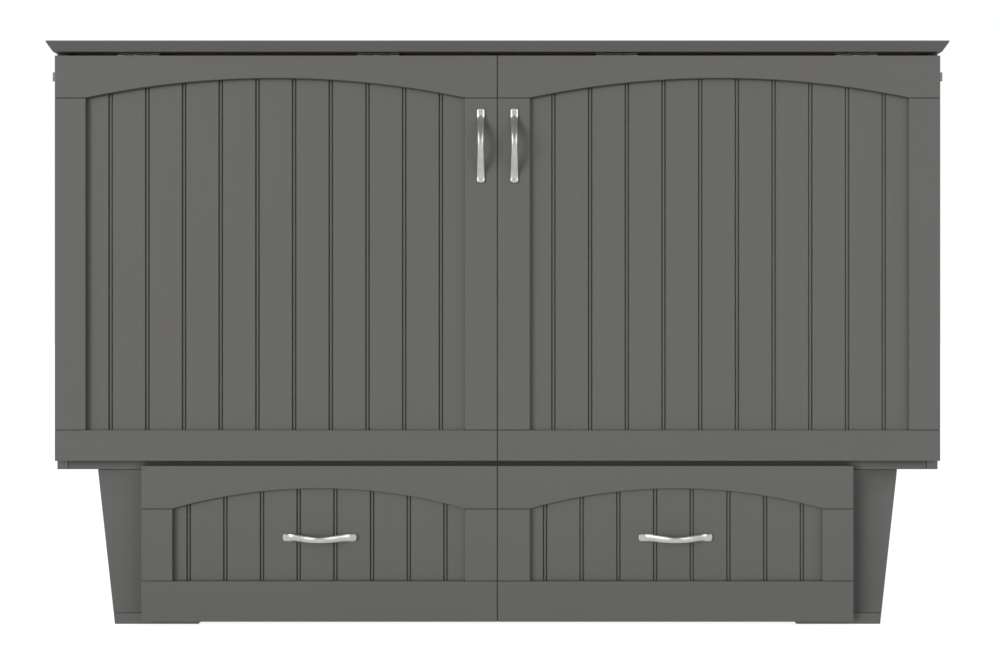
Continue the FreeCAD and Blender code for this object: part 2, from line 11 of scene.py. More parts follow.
import bmesh
import bpy
from mathutils import Matrix, Vector


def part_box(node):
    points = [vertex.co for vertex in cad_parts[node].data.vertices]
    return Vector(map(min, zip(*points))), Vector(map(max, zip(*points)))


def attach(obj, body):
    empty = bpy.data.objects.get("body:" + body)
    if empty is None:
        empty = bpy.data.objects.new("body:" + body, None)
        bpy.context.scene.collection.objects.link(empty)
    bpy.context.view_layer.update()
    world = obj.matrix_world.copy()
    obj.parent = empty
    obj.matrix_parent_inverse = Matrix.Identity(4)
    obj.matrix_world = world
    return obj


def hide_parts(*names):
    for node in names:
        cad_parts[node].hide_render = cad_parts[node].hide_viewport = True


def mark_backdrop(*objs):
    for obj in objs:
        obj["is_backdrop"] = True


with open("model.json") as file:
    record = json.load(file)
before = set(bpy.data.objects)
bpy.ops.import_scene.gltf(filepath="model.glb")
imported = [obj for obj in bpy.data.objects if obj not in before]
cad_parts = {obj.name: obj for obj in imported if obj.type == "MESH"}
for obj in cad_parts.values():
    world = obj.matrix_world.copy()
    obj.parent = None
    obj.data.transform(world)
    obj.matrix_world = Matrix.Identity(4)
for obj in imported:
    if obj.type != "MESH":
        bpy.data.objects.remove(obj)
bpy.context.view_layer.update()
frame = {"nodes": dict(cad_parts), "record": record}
nodes = frame["nodes"]
bodies = frame["record"]["behaviour"]["bodies"]
body_of = {node: body for body, members in bodies.items() for node in members}
MM = 0.001

# %% [markdown]
# ## Camera
# The photo looks square at the front from about half the height of the cabinet. A 50 mm lens on a 36 mm
# sensor, 2.57 m from the door faces, gives its slight perspective: the drawer pulls seem to hang down
# because their bows stand nearer to the lens than their feet.

# %% Camera
CAMERA_DISTANCE = 2.57
CAMERA_HEIGHT = 0.5407
CAMERA_SIDE = 0.0046
LENS_MM = 50.0
SENSOR_MM = 36.0
QUARTER_TURN = math.radians(90)

door_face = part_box("left_door_top_rail")[0].y
camera_data = bpy.data.cameras.new("front_camera")
camera_data.lens = LENS_MM
camera_data.sensor_width = SENSOR_MM
camera = bpy.data.objects.new("front_camera", camera_data)
camera.location = (CAMERA_SIDE, door_face - CAMERA_DISTANCE, CAMERA_HEIGHT)
camera.rotation_euler = (QUARTER_TURN, 0, 0)
bpy.context.scene.collection.objects.link(camera)
bpy.context.scene.camera = camera
bpy.context.scene.view_settings.view_transform = "Standard"
print("camera at", tuple(camera.location))

# %% [markdown]
# ## A small kit for materials
# Every finish is a Principled shader fed by a few noise textures on Object coordinates. All objects sit
# at the origin, so those coordinates are metres in the room, and one finish runs on across the boards.
# Pictures of timber would need a UV map on every board, so noise is the shorter way. These helpers make a
# noise, drawn out along the grain where one is given, and turn its middle range into tones and values.

# %% Noise, tones and values
AXES = {"x": 0, "y": 1, "z": 2}
NOISE_LOW = 0.3
NOISE_HIGH = 0.7
NOISE_ROUGHNESS = 0.55
WHITE = (1.0, 1.0, 1.0)


def grey(tone):
    return (tone,) * 3


def shade(colour, factor):
    return tuple(channel * factor for channel in colour)


def new_material(name):
    material = bpy.data.materials.new(name)
    material.use_nodes = True
    tree = material.node_tree
    shader = tree.nodes["Principled BSDF"]
    return material, tree, shader


def stretched_noise(tree, scale, grain=None, stretch=1.0, detail=4.0, distortion=0.0):
    """Noise in metres, drawn out along one axis when a grain is given."""
    place = tree.nodes.new("ShaderNodeTexCoord")
    mapping = tree.nodes.new("ShaderNodeMapping")
    if grain:
        size = [1.0, 1.0, 1.0]
        size[AXES[grain]] = stretch
        mapping.inputs["Scale"].default_value = size
    noise = tree.nodes.new("ShaderNodeTexNoise")
    noise.inputs["Scale"].default_value = scale
    noise.inputs["Detail"].default_value = detail
    noise.inputs["Roughness"].default_value = NOISE_ROUGHNESS
    noise.inputs["Distortion"].default_value = distortion
    tree.links.new(place.outputs["Object"], mapping.inputs["Vector"])
    tree.links.new(mapping.outputs["Vector"], noise.inputs["Vector"])
    return noise.outputs["Fac"]


def ramp(tree, factor, stops):
    """A colour ramp from (position, colour) stops."""
    node = tree.nodes.new("ShaderNodeValToRGB")
    elements = node.color_ramp.elements
    while len(elements) < len(stops):
        elements.new(position=0.5)
    for element, (position, colour) in zip(elements, stops):
        element.position = position
        element.color = (*colour, 1.0)
    tree.links.new(factor, node.inputs["Fac"])
    return node.outputs["Color"]


def two_tones(tree, noise, dark, light):
    return ramp(tree, noise, [(NOISE_LOW, dark), (NOISE_HIGH, light)])


def spread_value(tree, noise, low, high):
    node = tree.nodes.new("ShaderNodeMapRange")
    node.inputs["From Min"].default_value = NOISE_LOW
    node.inputs["From Max"].default_value = NOISE_HIGH
    node.inputs["To Min"].default_value = low
    node.inputs["To Max"].default_value = high
    tree.links.new(noise, node.inputs["Value"])
    return node.outputs["Result"]


def multiplied(tree, base, tint, amount=1.0):
    node = tree.nodes.new("ShaderNodeMix")
    node.data_type = "RGBA"
    node.blend_type = "MULTIPLY"
    node.inputs["Factor"].default_value = amount
    tree.links.new(base, node.inputs["A"])
    tree.links.new(tint, node.inputs["B"])
    return node.outputs["Result"]


print("noise is read between", NOISE_LOW, "and", NOISE_HIGH)

# %% [markdown]
# ## Relief and shade
# Grain, scratches and felt are too fine to model, so Bump nodes stacked under the shader tilt the light on
# them. The Ambient Occlusion node tells how open a point is within a short reach. It looks at the shape
# alone, so a corner keeps its tone from every side, and a ramp turns the openness into a painted shade.

# %% Bumps and crevices
OCCLUSION_SAMPLES = 8


def bumps(tree, shader, layers):
    """Stack bump layers of (height, depth in metres, strength) under one shader."""
    normal = None
    for height, depth, strength in layers:
        node = tree.nodes.new("ShaderNodeBump")
        node.inputs["Distance"].default_value = depth
        node.inputs["Strength"].default_value = strength
        tree.links.new(height, node.inputs["Height"])
        if normal:
            tree.links.new(normal, node.inputs["Normal"])
        normal = node.outputs["Normal"]
    tree.links.new(normal, shader.inputs["Normal"])


def occlusion_shade(tree, reach, *stops):
    """A painted shade: a multiplier from (openness, tone) stops, where openness is measured within the reach.
    """
    node = tree.nodes.new("ShaderNodeAmbientOcclusion")
    node.samples = OCCLUSION_SAMPLES
    node.inputs["Distance"].default_value = reach
    return ramp(tree, node.outputs["AO"], [(openness, grey(tone)) for openness, tone in stops])


print("openness comes in steps of", 1 / OCCLUSION_SAMPLES)

# %% [markdown]
# ## Satin grey paint
# The boards are sprayed a warm mid grey. Under a satin coat a little of the timber still shows as long
# faint lines, and the film itself has a fine orange peel. The grain runs along each board, so the same
# paint is made once for each direction. Towards the floor it is a little darker: painted shade, as the light
# falls off lower down. Shade is painted into corners too, deeper than the lamps alone give it: a hair-line
# at the joints, the quirks of the beads, the recess under the doors, and a wide painted shadow of the drawer
# front on the legs beside it. Each shadow is a reach and its (openness, tone) stops, and one function makes
# every paint with the shadows that it needs.

# %% Paint
PAINT_GREY = (0.097, 0.095, 0.0912)
PAINT_GRAIN = [(0.25, grey(0.92)), (0.5, WHITE), (0.8, (1.04, 1.04, 1.03))]
PAINT_SPECULAR = 0.35
# Painted shade towards the floor: up to this height the paint darkens to this tone.
LOW_SHADE_HEIGHT = 0.28
LOW_SHADE_TONE = 0.89
# Painted shade in corners and recesses: a reach, then (openness, tone) stops.
JOINT = (2 * MM, (0.35, 0.4), (0.9, 1.0))
QUIRK = (3 * MM, (0.35, 0.3), (0.6, 1.0))
RECESS = (26 * MM, (0.35, 0.3), (0.9, 1.0))
# Painted shadow of the drawer front on the legs, deeper on the right, away from the key light.
LEG_REACH = 70 * MM
DRAWER_SHADOW_ON_LEGS = {
    "left": (LEG_REACH, (0.5, 0.8), (0.875, 0.76), (1.0, 1.0)),
    "right": (LEG_REACH, (0.5, 1.0), (0.625, 0.9), (0.75, 0.5), (0.875, 0.45), (1.0, 1.0)),
}


def painted_low_shade(tree):
    """A multiplier that darkens the paint a little towards the floor: painted shade, as the light falls off
    lower down.
    """
    place = tree.nodes.new("ShaderNodeTexCoord")
    parts = tree.nodes.new("ShaderNodeSeparateXYZ")
    height = tree.nodes.new("ShaderNodeMapRange")
    height.inputs["From Max"].default_value = LOW_SHADE_HEIGHT
    tree.links.new(place.outputs["Object"], parts.inputs["Vector"])
    tree.links.new(parts.outputs["Z"], height.inputs["Value"])
    return ramp(tree, height.outputs["Result"], [(0.0, grey(LOW_SHADE_TONE)), (1.0, WHITE)])


def satin_paint(name, grain, *shadows):
    material, tree, shader = new_material("satin_grey_paint_" + name)
    cloud = stretched_noise(tree, scale=2.2, grain=grain, stretch=0.4, detail=2.0)
    lines = stretched_noise(tree, scale=260.0, grain=grain, stretch=0.018, detail=3.0)
    peel = stretched_noise(tree, scale=1500.0, detail=1.0)
    tone = two_tones(tree, cloud, shade(PAINT_GREY, 0.985), shade(PAINT_GREY, 1.015))
    coat = multiplied(tree, tone, ramp(tree, lines, PAINT_GRAIN), amount=0.6)
    # Painted shade, a little darker towards the floor.
    coat = multiplied(tree, coat, painted_low_shade(tree))
    # Painted shade in the corners that each piece needs.
    for shadow in shadows:
        coat = multiplied(tree, coat, occlusion_shade(tree, *shadow))
    tree.links.new(coat, shader.inputs["Base Color"])
    tree.links.new(spread_value(tree, lines, low=0.5, high=0.6), shader.inputs["Roughness"])
    shader.inputs["Specular IOR Level"].default_value = PAINT_SPECULAR
    bumps(tree, shader, [(lines, 0.25 * MM, 0.25), (peel, 0.08 * MM, 0.3)])
    return material


paint = {axis: satin_paint(axis, axis, JOINT) for axis in AXES}
panel_paint = satin_paint("panel", "z", QUIRK)
shaded_paint = satin_paint("shaded", "x", RECESS)
# Each leg paint carries the painted shadow of the drawer front.
leg_paint = {f"leg_front_{side}": satin_paint("leg_" + side, "z", JOINT, deep)
             for side, deep in DRAWER_SHADOW_ON_LEGS.items()}
print("paints", sorted(paint), panel_paint.name, shaded_paint.name, sorted(leg_paint))

# %% [markdown]
# ## Planed slats and drawer boards
# The decks are planed pine: pale, with broad growth bands and fine fibres. The drawer box is birch ply
# under clear lacquer, quieter and smoother. One noise drawn out along the grain gives the bands, and a
# much finer one the fibres, which also make the bump.

# %% Timber
PINE = [
    (0.0, (0.36, 0.2, 0.085)),
    (0.35, (0.56, 0.37, 0.19)),
    (0.65, (0.66, 0.47, 0.27)),
    (1.0, (0.74, 0.57, 0.36)),
]
BIRCH = [
    (0.0, (0.47, 0.33, 0.19)),
    (0.4, (0.62, 0.47, 0.3)),
    (0.7, (0.7, 0.56, 0.38)),
    (1.0, (0.77, 0.65, 0.48)),
]
FIBRES = [(0.3, (0.82, 0.79, 0.74)), (0.6, WHITE)]
TIMBER_ROUGH_SPREAD = 0.12


def clear_timber(name, stops, grain, band_scale, rough):
    material, tree, shader = new_material(name + "_" + grain)
    bands = stretched_noise(tree, band_scale, grain=grain, stretch=0.05, detail=6.0, distortion=0.6)
    fibres = stretched_noise(tree, scale=700.0, grain=grain, stretch=0.012, detail=2.0)
    figure = multiplied(tree, ramp(tree, bands, stops), ramp(tree, fibres, FIBRES), amount=0.7)
    tree.links.new(figure, shader.inputs["Base Color"])
    roughness = spread_value(tree, bands, rough, rough + TIMBER_ROUGH_SPREAD)
    tree.links.new(roughness, shader.inputs["Roughness"])
    bumps(tree, shader, [(fibres, 0.3 * MM, 0.3)])
    return material


pine = {axis: clear_timber("planed_pine", PINE, axis, band_scale=26.0, rough=0.55) for axis in "xy"}
birch = {axis: clear_timber("lacquered_birch", BIRCH, axis, band_scale=16.0, rough=0.35) for axis in "xy"}
print("timbers", [timber.name for timber in (*pine.values(), *birch.values())])

# %% [markdown]
# ## Metals, rubber and felt
# The pulls are brushed nickel: bright, with fine scratches along the bar. The lock knobs are a darker satin
# steel. Hinges and brackets are zinc-plated steel, duller and a little mottled, and the lid's hinge leaves
# take a darker copy of the zinc as painted shade, since they sit under the lid. Every metal also gets painted
# shade where it is hemmed in, deepest on the hinges. Rubber is nearly black with a dusty bloom, and the pads
# are short grey felt. One function makes every metal, since only the colour, the direction of the scratches,
# the roughness and the painted shade differ, and another makes the soft materials.

# %% Metal, rubber, felt
NICKEL = (0.475, 0.47, 0.462)
ZINC = (0.78, 0.78, 0.77)
# The lid's leaves take this darker zinc as painted shade; the screws take it as their own colour.
SHADED_LEAF_AND_SCREW_ZINC = (0.3, 0.3, 0.295)
LOCK_STEEL = (0.21, 0.208, 0.204)
# Painted shade where metal is hemmed in, deepest round the hinges.
METAL_GAP = (5 * MM, (0.35, 0.6), (0.9, 1.0))
HINGE_GAP = (6 * MM, (0.35, 0.12), (0.8, 1.0))
BAR_SCRATCHES = 2600.0
PLATE_SCRATCHES = 900.0
NICKEL_ROUGH = (0.22, 0.34)
RUBBER = (0.02, 0.02, 0.021)
FELT = (0.055, 0.055, 0.06)
FELT_SHEEN = 0.4
SOFT_ROUGH_SPREAD = 0.08


def brushed_metal(name, colour, grain, rough, scratch_scale=BAR_SCRATCHES, shadow=METAL_GAP):
    material, tree, shader = new_material(name)
    scratches = stretched_noise(tree, scratch_scale, grain=grain, stretch=0.02, detail=2.0)
    cloud = stretched_noise(tree, scale=60.0, detail=3.0)
    tone = two_tones(tree, cloud, shade(colour, 0.9), shade(colour, 1.06))
    metal = multiplied(tree, tone, two_tones(tree, scratches, grey(0.88), WHITE), amount=0.6)
    # Painted shade where the metal is hemmed in.
    metal = multiplied(tree, metal, occlusion_shade(tree, *shadow))
    tree.links.new(metal, shader.inputs["Base Color"])
    tree.links.new(spread_value(tree, scratches, *rough), shader.inputs["Roughness"])
    shader.inputs["Metallic"].default_value = 1.0
    bumps(tree, shader, [(scratches, 0.03 * MM, 0.25)])
    return material


def soft_matter(name, colour, scale, rough, depth):
    material, tree, shader = new_material(name)
    speck = stretched_noise(tree, scale, detail=5.0)
    tone = two_tones(tree, speck, shade(colour, 0.7), shade(colour, 1.5))
    tree.links.new(tone, shader.inputs["Base Color"])
    roughness = spread_value(tree, speck, rough - SOFT_ROUGH_SPREAD, rough + SOFT_ROUGH_SPREAD)
    tree.links.new(roughness, shader.inputs["Roughness"])
    bumps(tree, shader, [(speck, depth, 0.5)])
    return material


nickel = {axis: brushed_metal("brushed_nickel_" + axis, NICKEL, axis, NICKEL_ROUGH) for axis in "xz"}
zinc = brushed_metal("zinc_plate", ZINC, "x", (0.32, 0.5), PLATE_SCRATCHES, HINGE_GAP)
# The lid's leaves: a darker copy of the zinc, painted shade for the shade under the lid.
shaded_leaf_zinc = brushed_metal("zinc_plate_painted_shade", SHADED_LEAF_AND_SCREW_ZINC, "x", (0.4, 0.55), PLATE_SCRATCHES, HINGE_GAP)
lock_steel = brushed_metal("satin_steel", LOCK_STEEL, "z", (0.45, 0.6))
bumper_rubber = soft_matter("bumper_rubber", RUBBER, scale=900.0, rough=0.7, depth=0.1 * MM)
felt = soft_matter("felt_pad", FELT, scale=1600.0, rough=0.9, depth=0.4 * MM)
felt.node_tree.nodes["Principled BSDF"].inputs["Sheen Weight"].default_value = FELT_SHEEN
metals = (*nickel.values(), zinc, shaded_leaf_zinc, lock_steel)
print("metals", [metal.name for metal in metals])

# %% [markdown]
# ## Rollers
# A pair of rollers and their axle come as one piece. They could be cut into three for three materials, but
# axle, hub and tyre are rings round one line, so one material tells them apart by the distance from it.

# %% Rollers
NYLON = (0.42, 0.42, 0.4)
TYRE = (0.045, 0.045, 0.048)
AXLE_EDGE = 4 * MM
HUB_EDGE = 13 * MM
WHEEL_EDGE = 20 * MM
RING_BLUR = 0.02


def roller_finish(node):
    """Steel axle, pale nylon hub and grey tyre, told apart by the distance from the axle."""
    material, tree, shader = new_material("roller_" + node)
    low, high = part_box(node)
    place = tree.nodes.new("ShaderNodeTexCoord")
    centred = tree.nodes.new("ShaderNodeMapping")
    centred.inputs["Location"].default_value = (0, -(low.y + high.y) / 2, -(low.z + high.z) / 2)
    flat = tree.nodes.new("ShaderNodeVectorMath")
    flat.operation = "MULTIPLY"
    flat.inputs[1].default_value = (0, 1, 1)
    length = tree.nodes.new("ShaderNodeVectorMath")
    length.operation = "LENGTH"
    share = tree.nodes.new("ShaderNodeMapRange")
    share.inputs["From Max"].default_value = WHEEL_EDGE
    tree.links.new(place.outputs["Object"], centred.inputs["Vector"])
    tree.links.new(centred.outputs["Vector"], flat.inputs[0])
    tree.links.new(flat.outputs["Vector"], length.inputs[0])
    tree.links.new(length.outputs["Value"], share.inputs["Value"])
    axle, hub = AXLE_EDGE / WHEEL_EDGE, HUB_EDGE / WHEEL_EDGE
    rings = [(axle - RING_BLUR, ZINC), (axle, NYLON), (hub, NYLON), (hub + RING_BLUR, TYRE)]
    speck = stretched_noise(tree, scale=500.0, detail=5.0)
    worn = two_tones(tree, speck, grey(0.8), grey(1.1))
    tree.links.new(multiplied(tree, ramp(tree, share.outputs["Result"], rings), worn),
                   shader.inputs["Base Color"])
    tree.links.new(spread_value(tree, speck, low=0.4, high=0.55), shader.inputs["Roughness"])
    bumps(tree, shader, [(speck, 0.1 * MM, 0.4)])
    return material


roller_paint = {node: roller_finish(node) for node in ("rollers_front", "rollers_rear")}
print("rollers", sorted(roller_paint))

# %% [markdown]
# ## Dressing the boards
# Each board takes the paint whose grain runs along it. Uprights have a grain along Z, rails and the lid
# along X, and the case sides along Y. A list by name gives the odd pieces their finish, and the rest of a
# piece's name says what kind of board or fitting it is.

# %% Finish by piece
FINISHES = {
    **dict.fromkeys(("lock_collars", "lock_left", "lock_right"), lock_steel),
    **dict.fromkeys(("lock_keepers", "roller_brackets"), zinc),
    **dict.fromkeys(("back_rail", "lid_frame"), pine["x"]),
    **dict.fromkeys(("drawer_side_left", "drawer_side_right"), birch["y"]),
    **dict.fromkeys(("drawer_subfront", "drawer_back", "drawer_bottom"), birch["x"]),
    "upper_hinge_lid_leaves": shaded_leaf_zinc,
    "head_bearers": pine["y"],
    "rubber_bumpers": bumper_rubber,
    "support_pads": felt,
    "case_bottom": shaded_paint,
    **leg_paint,
    **roller_paint,
}


def finish_for(node):
    if node in FINISHES:
        return FINISHES[node]
    if "handle" in node:
        return nickel["z"] if node.startswith("door") else nickel["x"]
    if "hinge" in node:
        return zinc
    if "slats" in node:
        return pine["x"]
    if node.endswith("_panel"):
        return panel_paint
    if "stile" in node or node.startswith("leg_"):
        return paint["z"]
    return paint["y"] if node.startswith("case_side") else paint["x"]


for node, obj in nodes.items():
    obj.data.materials.clear()
    obj.data.materials.append(finish_for(node))
print("finished", len(nodes), "nodes,", len(FINISHES), "of them by name")

# %% [markdown]
# ## Soft arrises
# A painted edge is never quite sharp and always catches a thin line of light. The boards' meshes stay as
# they are, and modifiers do the rounding: a Weld joins the loose facets, a planar Decimate clears the lines
# inside flat faces, and a small Bevel rounds the arrises. Metal and the beaded panels get a finer one.

# %% Soft arrises
ARRIS = 0.7 * MM
METAL_ARRIS = 0.4 * MM
PANEL_ARRIS = 0.3 * MM
ARRIS_STEPS = 2
ARRIS_ANGLE = math.radians(50)
FLAT_ANGLE = math.radians(0.3)
WELD = 0.01 * MM
FINE_ARRIS = {panel_paint: PANEL_ARRIS, **dict.fromkeys(metals, METAL_ARRIS)}


def soften(obj, width):
    weld = obj.modifiers.new("join_facets", "WELD")
    weld.merge_threshold = WELD
    flat = obj.modifiers.new("join_flats", "DECIMATE")
    flat.decimate_type = "DISSOLVE"
    flat.angle_limit = FLAT_ANGLE
    arris = obj.modifiers.new("soft_arris", "BEVEL")
    arris.width = width
    arris.segments = ARRIS_STEPS
    arris.limit_method = "ANGLE"
    arris.angle_limit = ARRIS_ANGLE
    arris.use_clamp_overlap = True


for obj in nodes.values():
    soften(obj, FINE_ARRIS.get(obj.data.materials[0], ARRIS))
print("softened", len(nodes), "nodes")

# %% [markdown]
# ## Cast bow pulls
# A pull is a flat bar whose ends lie on the wood and whose middle bows out and narrows to a waist. A curve
# with a bevel could give the bow, but not the waist and the crowned face together. So it starts as a cube:
# stretched to the bar, cut across many times, then every point is moved by the bow, the crown and the
# waist, and the sharp edges are bevelled so that the metal rolls over softly. The ends are drawn to a
# slight curve, as on the real casting.

# %% Bow of a pull
PULL_PAD_SHARE = 0.84
PULL_FULLNESS = 1.5
PULL_WAIST_SHARE = 0.72


def bow_height(share):
    """Height of the bow above its feet, as a share of its full height, from middle (0) to end (1)."""
    inside = min(abs(share) / PULL_PAD_SHARE, 1.0)
    return (1 - inside**2) ** PULL_FULLNESS


def bow_width(share):
    """Width of the bar as a share of its ends, from the waist in the middle to the full ends."""
    inside = min(abs(share) / PULL_PAD_SHARE, 1.0)
    return PULL_WAIST_SHARE + (1 - PULL_WAIST_SHARE) * 0.5 * (1 - math.cos(math.pi * inside))


print("bow at a quarter of the bar:", bow_height(0.5), "high,", bow_width(0.5), "wide")

# %% Cast pulls
PULL_CUTS = 47
PULL_CROSS_CUTS = 9
PULL_EDGE = 0.7 * MM
PULL_CROWN = 1.2 * MM
PULL_CROWN_POWER = 3
PULL_DROOP = 1.5 * MM
PULL_BAR = 5.5 * MM
PULL_PAD = 4.5 * MM
PULL_END_CURVE = 2.4 * MM
ORIGIN = (0, 0, 0)
QUARTER_ABOUT_Y = Matrix.Rotation(QUARTER_TURN, 3, "Y")


def piece_from(shape, name, material, smooth=False):
    mesh = bpy.data.meshes.new(name)
    shape.to_mesh(mesh)
    shape.free()
    for face in mesh.polygons:
        face.use_smooth = smooth
    obj = bpy.data.objects.new(name, mesh)
    mesh.materials.append(material)
    bpy.context.scene.collection.objects.link(obj)
    return obj


def bow_pull(name, node):
    low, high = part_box(node)
    size = high - low
    middle = (low + high) / 2
    upright = size.z > size.x
    length = size.z if upright else size.x
    width = size.x if upright else size.z
    rise = size.y - PULL_BAR
    shape = bmesh.new()
    bmesh.ops.create_cube(shape, size=1.0)
    bmesh.ops.scale(shape, vec=(length, PULL_PAD, width), verts=shape.verts)
    across = [e for e in shape.edges if abs(e.verts[0].co.z - e.verts[1].co.z) > width / 2]
    bmesh.ops.subdivide_edges(shape, edges=across, cuts=PULL_CROSS_CUTS, use_grid_fill=True)
    along = [e for e in shape.edges if abs(e.verts[0].co.x - e.verts[1].co.x) > length / 2]
    bmesh.ops.subdivide_edges(shape, edges=along, cuts=PULL_CUTS, use_grid_fill=True)
    for vert in shape.verts:
        share = 2 * vert.co.x / length
        lift = bow_height(share)
        outer = vert.co.y < 0
        thick = PULL_PAD + (PULL_BAR - PULL_PAD) * lift
        crown = PULL_CROWN * abs(2 * vert.co.z / width) ** PULL_CROWN_POWER
        vert.co.y = -lift * rise - (thick - crown if outer else 0.0)
        vert.co.x -= share * PULL_END_CURVE * (2 * vert.co.z / width) ** 2
        vert.co.z *= bow_width(share)
        vert.co.z -= 0.0 if upright else lift * PULL_DROOP
    sharp_edges = [e for e in shape.edges if e.calc_face_angle(0.0) > ARRIS_ANGLE]
    bmesh.ops.bevel(shape, geom=sharp_edges, offset=PULL_EDGE, offset_type="OFFSET", affect="EDGES",
                    segments=4, profile=0.5, material=-1, clamp_overlap=True)
    if upright:
        bmesh.ops.rotate(shape, cent=ORIGIN, matrix=QUARTER_ABOUT_Y, verts=shape.verts)
    bmesh.ops.translate(shape, vec=(middle.x, high.y, middle.z), verts=shape.verts)
    bmesh.ops.recalc_face_normals(shape, faces=shape.faces)
    return piece_from(shape, name, nickel["z"] if upright else nickel["x"], smooth=True)


for node in ("door_handle_left", "door_handle_right", "drawer_handle_left", "drawer_handle_right"):
    pull = bow_pull(node + "_cast", node)
    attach(pull, body_of[node])
    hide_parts(node)
    print(pull.name, [round(c, 4) for c in pull.dimensions])

# %% [markdown]
# ## Thumb-turn locks
# Each lock has a low collar on the case side and a thumb-turn inside it. The collar is a short outline spun
# round the lock's axis. The turn is a disc with an upright grip, on a shaft that carries the tongue behind
# the case side: rods and blocks with bevelled edges, set into each other. Both are made for the right-hand
# lock, outwards along X, and mirrored for the left, so that the two sides can't differ.

# %% Blocks, rods and collars
COLLAR_HEIGHT = 6.0 * MM
COLLAR_WALL = 4.0 * MM
COLLAR_LIP = 1.2 * MM
TURN_STEPS = 40
FULL_TURN = math.radians(360)


def add_block(shape, low, high, edge):
    made = bmesh.ops.create_cube(shape, size=1.0)["verts"]
    bmesh.ops.scale(shape, vec=high - low, verts=made)
    bmesh.ops.translate(shape, vec=(low + high) / 2, verts=made)
    edges = list({e for vert in made for e in vert.link_edges})
    bmesh.ops.bevel(shape, geom=edges, offset=edge, offset_type="OFFSET", affect="EDGES",
                    segments=3, profile=0.5, material=-1, clamp_overlap=True)


def add_rod(shape, start, end, radius, edge):
    made = bmesh.ops.create_cone(shape, cap_ends=True, segments=TURN_STEPS, radius1=radius, radius2=radius,
                                 depth=end - start)["verts"]
    bmesh.ops.rotate(shape, cent=ORIGIN, matrix=QUARTER_ABOUT_Y, verts=made)
    bmesh.ops.translate(shape, vec=((start + end) / 2, 0, 0), verts=made)
    rims = [e for e in {e for vert in made for e in vert.link_edges} if len(e.link_faces[0].verts) != 4
            or len(e.link_faces[1].verts) != 4]
    bmesh.ops.bevel(shape, geom=rims, offset=edge, offset_type="OFFSET", affect="EDGES",
                    segments=2, profile=0.5, material=-1, clamp_overlap=True)


def add_collar(shape, radius):
    bore = radius - COLLAR_WALL
    lip = COLLAR_LIP
    outline = [(0, bore), (0, radius), (COLLAR_HEIGHT - lip, radius), (COLLAR_HEIGHT, radius - lip),
               (COLLAR_HEIGHT, bore + lip / 2), (COLLAR_HEIGHT - lip / 2, bore)]
    ring = [shape.verts.new((out, 0, up)) for out, up in outline]
    edges = [shape.edges.new((ring[i - 1], ring[i])) for i in range(len(ring))]
    bmesh.ops.spin(shape, geom=ring + edges, cent=ORIGIN, axis=(1, 0, 0), dvec=(0, 0, 0),
                   angle=FULL_TURN, steps=TURN_STEPS, use_merge=True, use_duplicate=False)


def set_on_side(shape, side, foot):
    """Mirror a shape made for the right-hand lock if it is the left one, and move it to its foot."""
    bmesh.ops.scale(shape, vec=(side, 1, 1), verts=shape.verts)
    bmesh.ops.translate(shape, vec=(side * foot.x, foot.y, foot.z), verts=shape.verts)
    bmesh.ops.recalc_face_normals(shape, faces=shape.faces)


lock_low, lock_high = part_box("lock_right")
collar_low, collar_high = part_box("lock_collars")
disc_radius = (lock_high.y - lock_low.y) / 2
collar_radius = (collar_high.z - collar_low.z) / 2
lock_foot = Vector((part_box("case_side_right")[1].x, (lock_low.y + lock_high.y) / 2, lock_low.z + disc_radius))
print("lock foot", [round(c, 4) for c in lock_foot], "disc", disc_radius, "collar", collar_radius)

# %% Thumb-turn locks
DISC_OUT = (0.5 * MM, 5.0 * MM)
DISC_EDGE = 0.6 * MM
GRIP_OUT = (4.0 * MM, 12.8 * MM)
GRIP_HALF = (2.5 * MM, 8.3 * MM)
GRIP_EDGE = 1.0 * MM
TONGUE_THICK = 2.8 * MM
TONGUE_HALF = 4.0 * MM
TONGUE_EDGE = 0.5 * MM
SHARP = math.radians(35)


def turned_piece(shape, name, node):
    piece = piece_from(shape, name, lock_steel, smooth=True)
    piece.data.set_sharp_from_angle(angle=SHARP)
    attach(piece, body_of[node])
    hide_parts(node)
    print(piece.name, len(piece.data.polygons), "faces")


collars = bmesh.new()
for side in (-1, 1):
    one = bmesh.new()
    add_collar(one, collar_radius)
    set_on_side(one, side, lock_foot)
    spare = bpy.data.meshes.new("collar_copy")
    one.to_mesh(spare)
    one.free()
    collars.from_mesh(spare)
    bpy.data.meshes.remove(spare)
turned_piece(collars, "lock_collars_turned", "lock_collars")

tongue_in = lock_low.x - lock_foot.x
tongue_top = lock_high.z - lock_foot.z
for side, node in ((-1, "lock_left"), (1, "lock_right")):
    turn = bmesh.new()
    add_rod(turn, DISC_OUT[0], DISC_OUT[1], disc_radius, DISC_EDGE)
    add_rod(turn, tongue_in, DISC_OUT[1] - DISC_EDGE, TONGUE_HALF, TONGUE_EDGE)
    add_block(turn, Vector((GRIP_OUT[0], -GRIP_HALF[0], -GRIP_HALF[1])),
              Vector((GRIP_OUT[1], GRIP_HALF[0], GRIP_HALF[1])), GRIP_EDGE)
    add_block(turn, Vector((tongue_in, -TONGUE_HALF, 0)),
              Vector((tongue_in + TONGUE_THICK, TONGUE_HALF, tongue_top)), TONGUE_EDGE)
    set_on_side(turn, side, lock_foot)
    turned_piece(turn, node + "_thumb_turn", node)

# %% [markdown]
# ## Joined fronts
# The two drawer fronts meet in a narrow seam, and so do the doors. A thin painted spline stands in each seam,
# a little behind the face, and below the drawer box a small plate across the backs holds the fronts level.
# All three are bevelled blocks, placed from the boxes of the rails that they join.

# %% Joined fronts
PLATE_HALF = 45.0 * MM
PLATE_THICK = 6.0 * MM
PLATE_EDGE = 1.0 * MM
SPLINE_HALF = 0.5 * MM
SPLINE_SINK = 4.0 * MM
SPLINE_EDGE = 0.1 * MM

